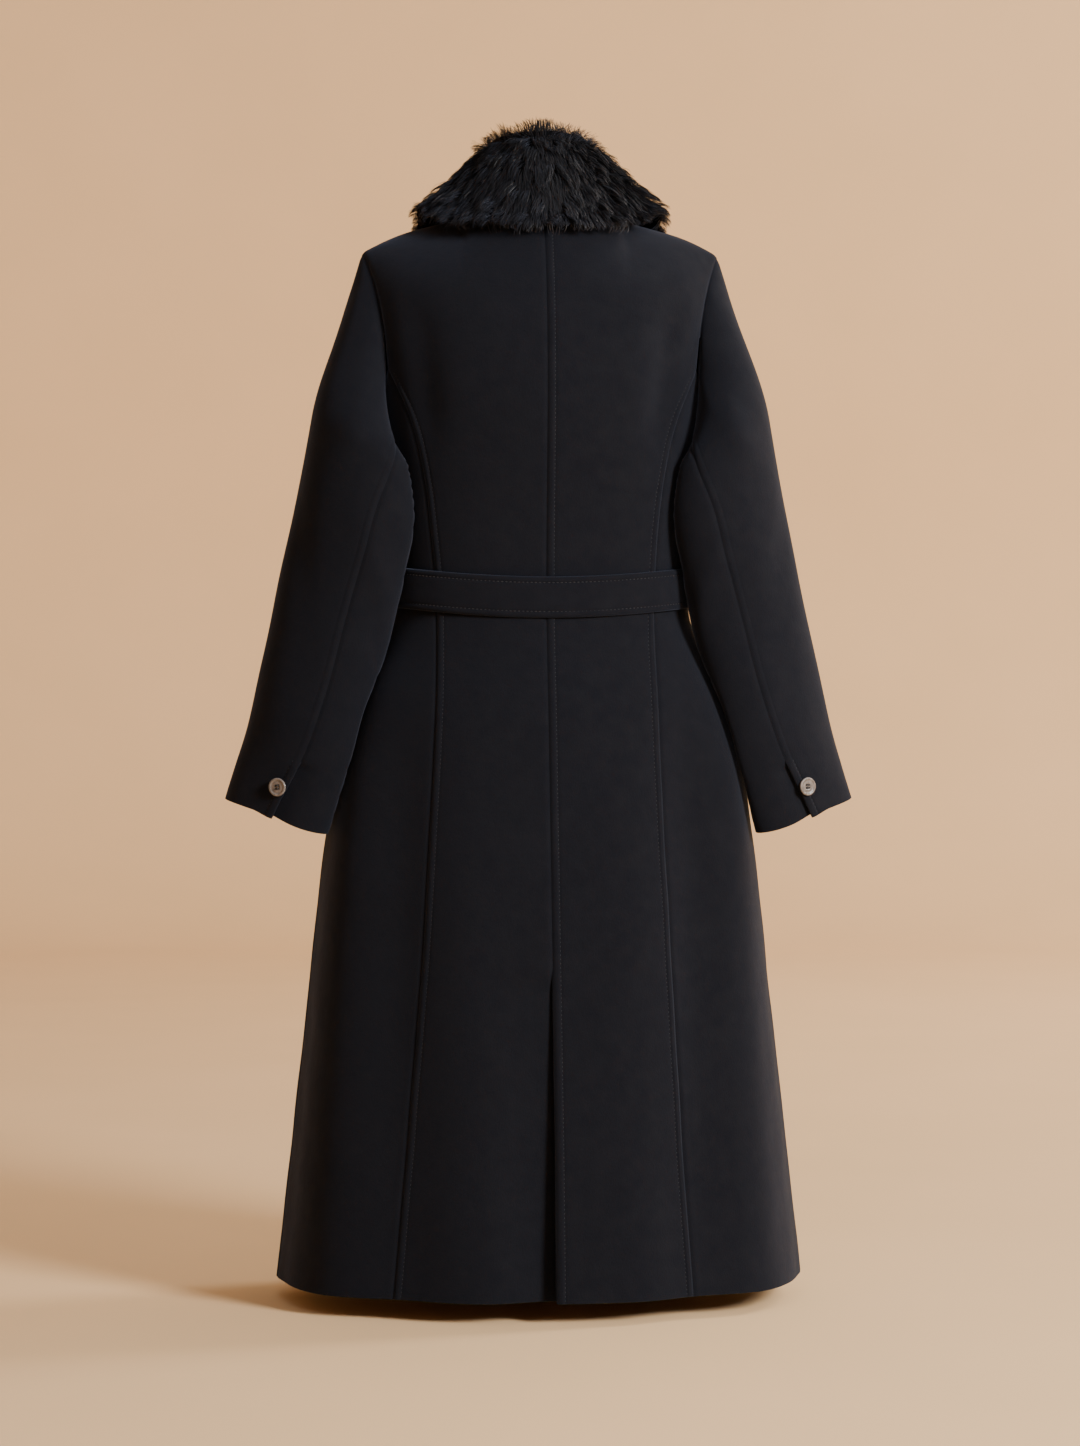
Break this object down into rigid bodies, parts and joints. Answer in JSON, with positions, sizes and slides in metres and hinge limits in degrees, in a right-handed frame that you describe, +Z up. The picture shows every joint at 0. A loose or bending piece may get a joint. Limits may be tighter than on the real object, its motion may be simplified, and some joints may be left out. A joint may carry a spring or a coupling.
{
  "type": "belted coat",
  "caption": "Long fitted wool coat, hollow as worn, with a deep fur collar, set-in sleeves, a back vent and a tied self belt.",
  "frame": {"origin": "midway between the shoulders at the height where the shoulder seams meet the neck, where the wearer's shoulders hold the coat", "axes": "+Z up along the coat's length, -Y towards the front, +Y towards the back, +X towards the wearer's left"},
  "size_m": [0.6882, 0.3691, 1.253],
  "materials": {
    "wool": "napped",
    "fur": "pile",
    "button": "satin"
  },
  "bodies": {
    "root": {"back_centre_left": "wool", "back_centre_right": "wool", "back_side_left": "wool", "back_side_right": "wool", "front_left": "wool", "front_right": "wool", "sleeve_left_top": "wool", "sleeve_left_under": "wool", "sleeve_right_top": "wool", "sleeve_right_under": "wool", "belt": "wool", "belt_knot": "wool", "belt_end_left": "wool", "belt_end_right": "wool", "collar": "fur", "cuff_button_left": "button", "cuff_button_right": "button"}
  },
  "joints": []
}
